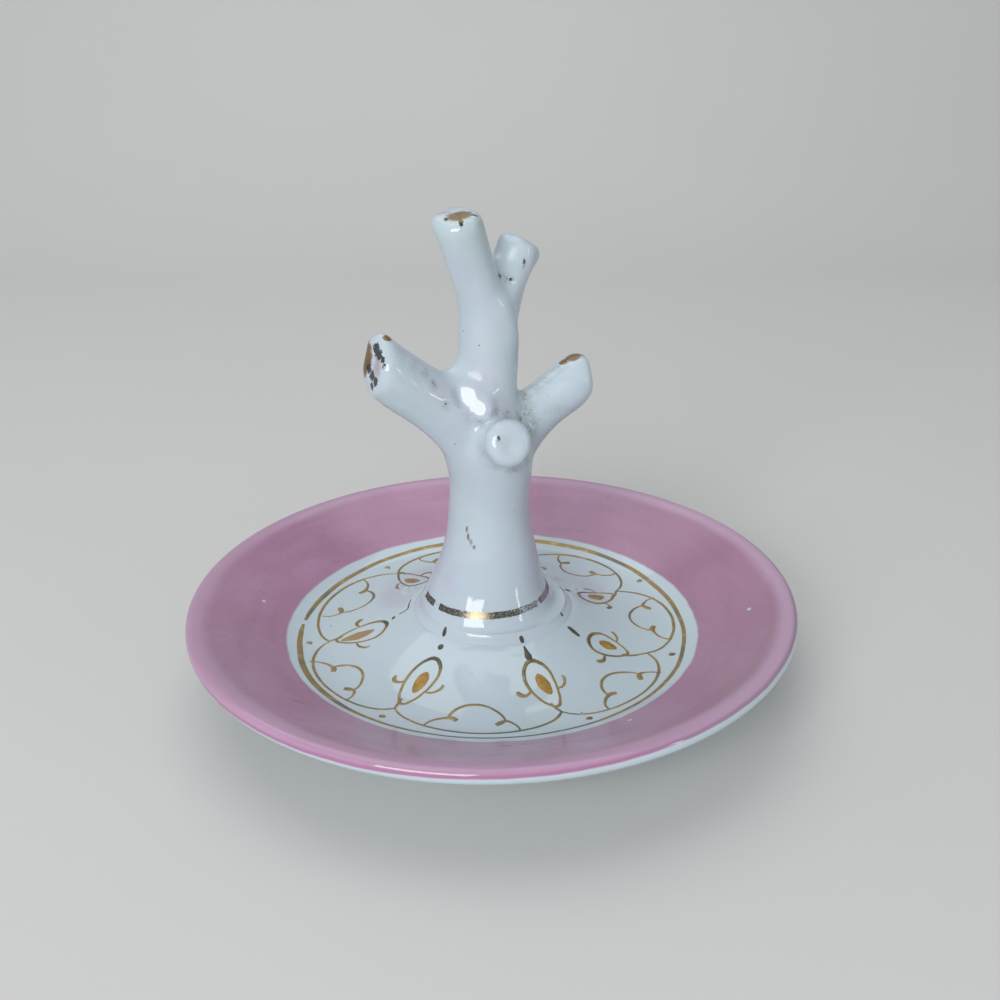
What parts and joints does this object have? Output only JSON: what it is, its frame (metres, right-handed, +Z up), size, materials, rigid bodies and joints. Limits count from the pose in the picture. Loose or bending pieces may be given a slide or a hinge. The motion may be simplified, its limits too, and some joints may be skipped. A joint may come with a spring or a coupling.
{
  "type": "ring dish",
  "caption": "Round porcelain saucer with a foot ring and a small leafless tree in its well; rings hang on the cut limbs and small things lie in the well.",
  "frame": {"origin": "centre of the foot ring, on the surface that the dish stands on", "axes": "+Z up along the saucer's axis, +X to the right of the view in which the short stub points at the viewer, +Y away from the viewer"},
  "size_m": [0.09, 0.09, 0.0696],
  "materials": {
    "saucer_glaze": "glossy clear glaze on white porcelain, with a mottled pink enamel rim and a gilt border",
    "tree_glaze": "glossy clear glaze on cool white porcelain, with worn gilding on the cut ends"
  },
  "bodies": {
    "root": {"dish": "saucer_glaze", "trunk": "tree_glaze", "top_leader": "tree_glaze", "top_fork": "tree_glaze", "left_branch": "tree_glaze", "right_branch": "tree_glaze", "front_stub": "tree_glaze"}
  },
  "joints": []
}
